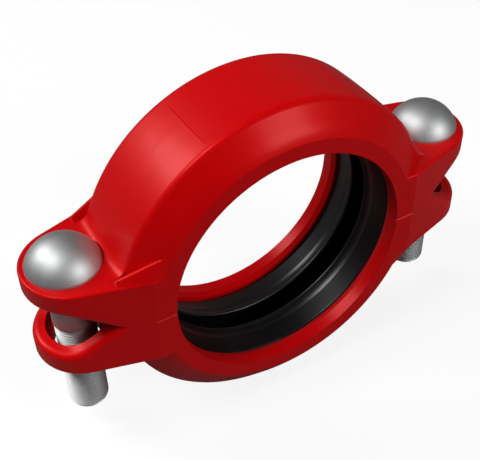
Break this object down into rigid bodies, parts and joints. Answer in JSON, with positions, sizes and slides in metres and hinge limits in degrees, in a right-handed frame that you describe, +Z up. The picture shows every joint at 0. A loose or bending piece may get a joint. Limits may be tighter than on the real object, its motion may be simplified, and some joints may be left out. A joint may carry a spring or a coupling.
{
  "type": "rigid pipe coupling",
  "caption": "Rigid coupling for grooved pipe ends: like cast halves close round a rubber ring and are held by dome-headed bolts through tapered ears.",
  "frame": {"origin": "middle of the pipe bore, midway between the two faces", "axes": "+Y along the pipe's bore, +Z up through the upper casting along the bolts, +X out through the right-hand ear"},
  "size_m": [0.1666, 0.0444, 0.117],
  "materials": {
    "housing_paint": "gloss red paint on ductile iron",
    "gasket_rubber": "satin black moulded rubber",
    "bolt_steel": "satin zinc-plated carbon steel"
  },
  "bodies": {
    "root": {"upper_housing": "housing_paint", "lower_housing": "housing_paint", "gasket": "gasket_rubber", "bolt_left": "bolt_steel", "bolt_right": "bolt_steel"}
  },
  "joints": []
}
